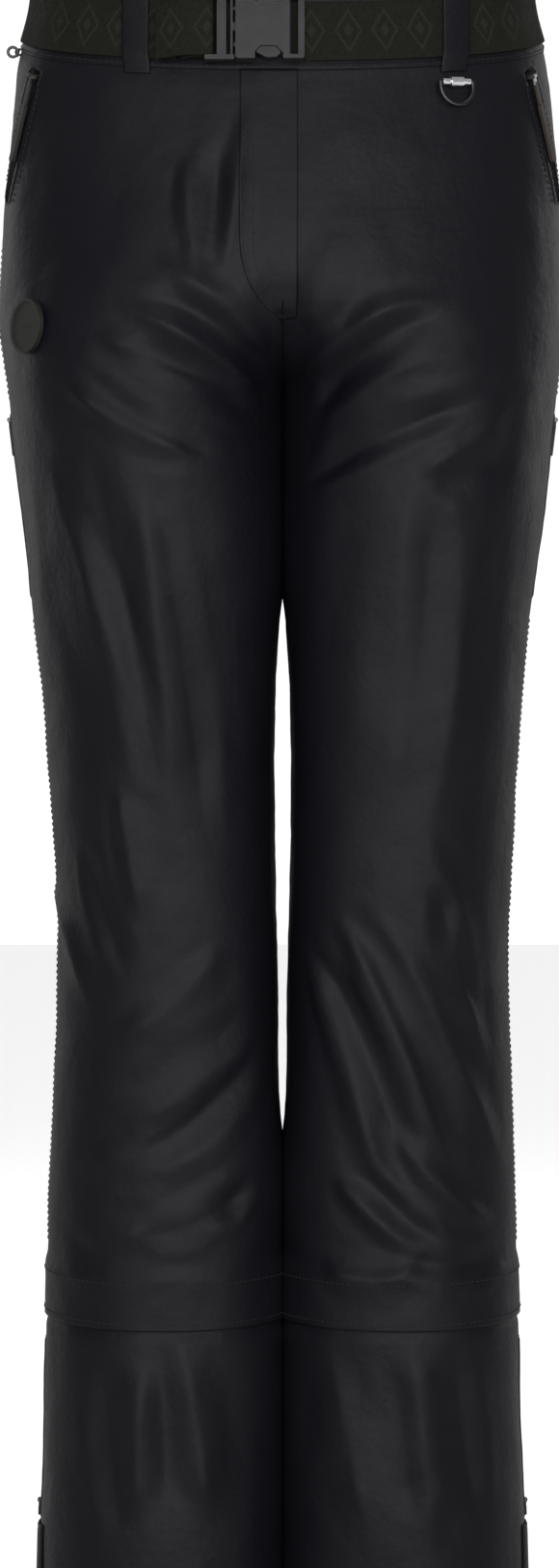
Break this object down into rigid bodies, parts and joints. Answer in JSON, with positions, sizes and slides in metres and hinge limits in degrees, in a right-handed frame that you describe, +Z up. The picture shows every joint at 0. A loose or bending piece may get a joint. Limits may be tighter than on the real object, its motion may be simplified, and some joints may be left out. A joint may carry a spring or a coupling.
{
  "type": "ski pants",
  "caption": "Long snow trousers with a belted waist, zipped fly, hand pockets, thigh vents and lower legs that carry an overlapping shin flap and side zips.",
  "frame": {"origin": "centre of the waist opening, level with the waistband's top edge at the two side seams", "axes": "+Z up out of the waist, +X towards the wearer's left leg, -Y towards the front"},
  "size_m": [0.3754, 0.2583, 1.1025],
  "materials": {
    "shell": "satin",
    "lining": "satin",
    "webbing": "matte",
    "buckle": "satin",
    "ring_metal": "satin",
    "bright_metal": "polished",
    "badge": "matte",
    "zip_tape": "matte",
    "zip_metal": "satin",
    "pull": "satin"
  },
  "bodies": {
    "garment": {"ankle_zip_left": "zip_tape", "ankle_zip_right": "zip_tape", "back_panel_left": "shell", "back_panel_right": "shell", "belt_loop_back_centre": "shell", "belt_loop_back_left": "shell", "belt_loop_back_right": "shell", "belt_loop_front_left": "shell", "belt_loop_front_right": "shell", "belt_webbing": "webbing", "buckle_socket": "buckle", "d_ring_tab": "shell", "fly_placket": "shell", "fly_shield": "shell", "fly_zip": "zip_tape", "front_panel_left": "shell", "front_panel_right": "shell", "hem_tab_left": "shell", "hem_tab_right": "shell", "hip_badge": "badge", "lining_left": "lining", "lining_right": "lining", "lower_back_panel_left": "shell", "lower_back_panel_right": "shell", "lower_front_panel_left": "shell", "lower_front_panel_right": "shell", "pocket_bag_left": "lining", "pocket_bag_right": "lining", "pocket_zip_left": "zip_tape", "pocket_zip_right": "zip_tape", "shin_flap_left": "shell", "shin_flap_right": "shell", "side_ring": "ring_metal", "snow_gaiter_left": "lining", "snow_gaiter_right": "lining", "vent_zip_left": "zip_tape", "vent_zip_right": "zip_tape", "waist_snap": "ring_metal", "waistband": "shell", "waistband_facing": "lining"},
    "pocket_zip_right_slider": {"pocket_zip_right_slider": "zip_metal"},
    "pocket_zip_right_pull": {"pocket_zip_right_pull": "pull"},
    "pocket_zip_left_slider": {"pocket_zip_left_slider": "zip_metal"},
    "pocket_zip_left_pull": {"pocket_zip_left_pull": "pull"},
    "vent_zip_right_slider": {"vent_zip_right_slider": "zip_metal"},
    "vent_zip_right_pull": {"vent_zip_right_pull": "pull"},
    "vent_zip_left_slider": {"vent_zip_left_slider": "zip_metal"},
    "vent_zip_left_pull": {"vent_zip_left_pull": "pull"},
    "ankle_zip_right_slider": {"ankle_zip_right_slider": "zip_metal"},
    "ankle_zip_right_pull": {"ankle_zip_right_pull": "pull"},
    "ankle_zip_left_slider": {"ankle_zip_left_slider": "zip_metal"},
    "ankle_zip_left_pull": {"ankle_zip_left_pull": "pull"},
    "fly_zip_slider": {"fly_zip_slider": "zip_metal"},
    "fly_zip_pull": {"fly_zip_pull": "pull"},
    "ring": {"d_ring": "ring_metal", "d_ring_sleeve": "bright_metal"},
    "buckle_plug": {"belt_fold": "webbing", "buckle_plug": "buckle"},
    "buckle_arm_upper": {"buckle_arm_upper": "buckle"},
    "buckle_arm_lower": {"buckle_arm_lower": "buckle"}
  },
  "joints": [
    {"name": "pocket_zip_right_run", "type": "slide", "parent": "garment", "child": "pocket_zip_right_slider", "axis": [-0.2332, 0.2396, -0.9425], "range_m": [0, 0.0788]},
    {"name": "pocket_zip_right_pull_hinge", "type": "hinge", "parent": "pocket_zip_right_slider", "child": "pocket_zip_right_pull", "pos_m": [-0.16513, -0.04009, -0.08153], "axis": [-0.395, 0.8623, 0.3169], "range_deg": [0, 150]},
    {"name": "pocket_zip_left_run", "type": "slide", "parent": "garment", "child": "pocket_zip_left_slider", "axis": [0.2332, 0.2396, -0.9425], "range_m": [0, 0.0788]},
    {"name": "pocket_zip_left_pull_hinge", "type": "hinge", "parent": "pocket_zip_left_slider", "child": "pocket_zip_left_pull", "pos_m": [0.16513, -0.04009, -0.08153], "axis": [-0.395, -0.8623, -0.3169], "range_deg": [0, 150]},
    {"name": "vent_zip_right_run", "type": "slide", "parent": "garment", "child": "vent_zip_right_slider", "axis": [0.1187, 0, -0.9929], "range_m": [0, 0.1134]},
    {"name": "vent_zip_right_pull_hinge", "type": "hinge", "parent": "vent_zip_right_slider", "child": "vent_zip_right_pull", "pos_m": [-0.18143, 0, -0.30466], "axis": [0, 1, 0], "range_deg": [0, 150]},
    {"name": "vent_zip_left_run", "type": "slide", "parent": "garment", "child": "vent_zip_left_slider", "axis": [-0.1187, 0, -0.9929], "range_m": [0, 0.1134]},
    {"name": "vent_zip_left_pull_hinge", "type": "hinge", "parent": "vent_zip_left_slider", "child": "vent_zip_left_pull", "pos_m": [0.18143, 0, -0.30466], "axis": [0, -1, 0], "range_deg": [0, 150]},
    {"name": "ankle_zip_right_run", "type": "slide", "parent": "garment", "child": "ankle_zip_right_slider", "axis": [0.025, 0, 0.9997], "range_m": [0, 0.105]},
    {"name": "ankle_zip_right_pull_hinge", "type": "hinge", "parent": "ankle_zip_right_slider", "child": "ankle_zip_right_pull", "pos_m": [-0.16125, 0, -1.02196], "axis": [-0.0006, 1, 0], "range_deg": [0, 150]},
    {"name": "ankle_zip_left_run", "type": "slide", "parent": "garment", "child": "ankle_zip_left_slider", "axis": [-0.025, 0, 0.9997], "range_m": [0, 0.105]},
    {"name": "ankle_zip_left_pull_hinge", "type": "hinge", "parent": "ankle_zip_left_slider", "child": "ankle_zip_left_pull", "pos_m": [0.16125, 0, -1.02196], "axis": [-0.0006, -1, 0], "range_deg": [0, 150]},
    {"name": "fly_zip_run", "type": "slide", "parent": "garment", "child": "fly_zip_slider", "axis": [0, -0.1498, -0.9887], "range_m": [0, 0.08]},
    {"name": "fly_zip_pull_hinge", "type": "hinge", "parent": "fly_zip_slider", "child": "fly_zip_pull", "pos_m": [0, -0.09972, -0.09593], "axis": [-1, 0, 0], "range_deg": [0, 4]},
    {"name": "d_ring_hinge", "type": "hinge", "parent": "garment", "child": "ring", "pos_m": [0.11271, -0.08285, -0.09088], "axis": [-0.908, -0.4172, -0.0384], "range_deg": [0, 100]},
    {"name": "buckle_release", "type": "slide", "parent": "garment", "child": "buckle_plug", "axis": [-1, 0, 0], "range_m": [0, 0.009]},
    {"name": "latch_arm_upper", "type": "hinge", "parent": "buckle_plug", "child": "buckle_arm_upper", "pos_m": [-0.0305, -0.10059, -0.04664], "axis": [0, 0.9902, -0.1395], "range_deg": [0, 14], "stiffness_Nm_per_rad": 0.05},
    {"name": "latch_arm_lower", "type": "hinge", "parent": "buckle_plug", "child": "buckle_arm_lower", "pos_m": [-0.0305, -0.10394, -0.0704], "axis": [0, -0.9902, 0.1395], "range_deg": [0, 14], "stiffness_Nm_per_rad": 0.05}
  ],
  "couplings": [
    {"joint": "latch_arm_upper", "follows": "buckle_release", "rad_per_m": 27},
    {"joint": "latch_arm_lower", "follows": "buckle_release", "rad_per_m": 27}
  ]
}
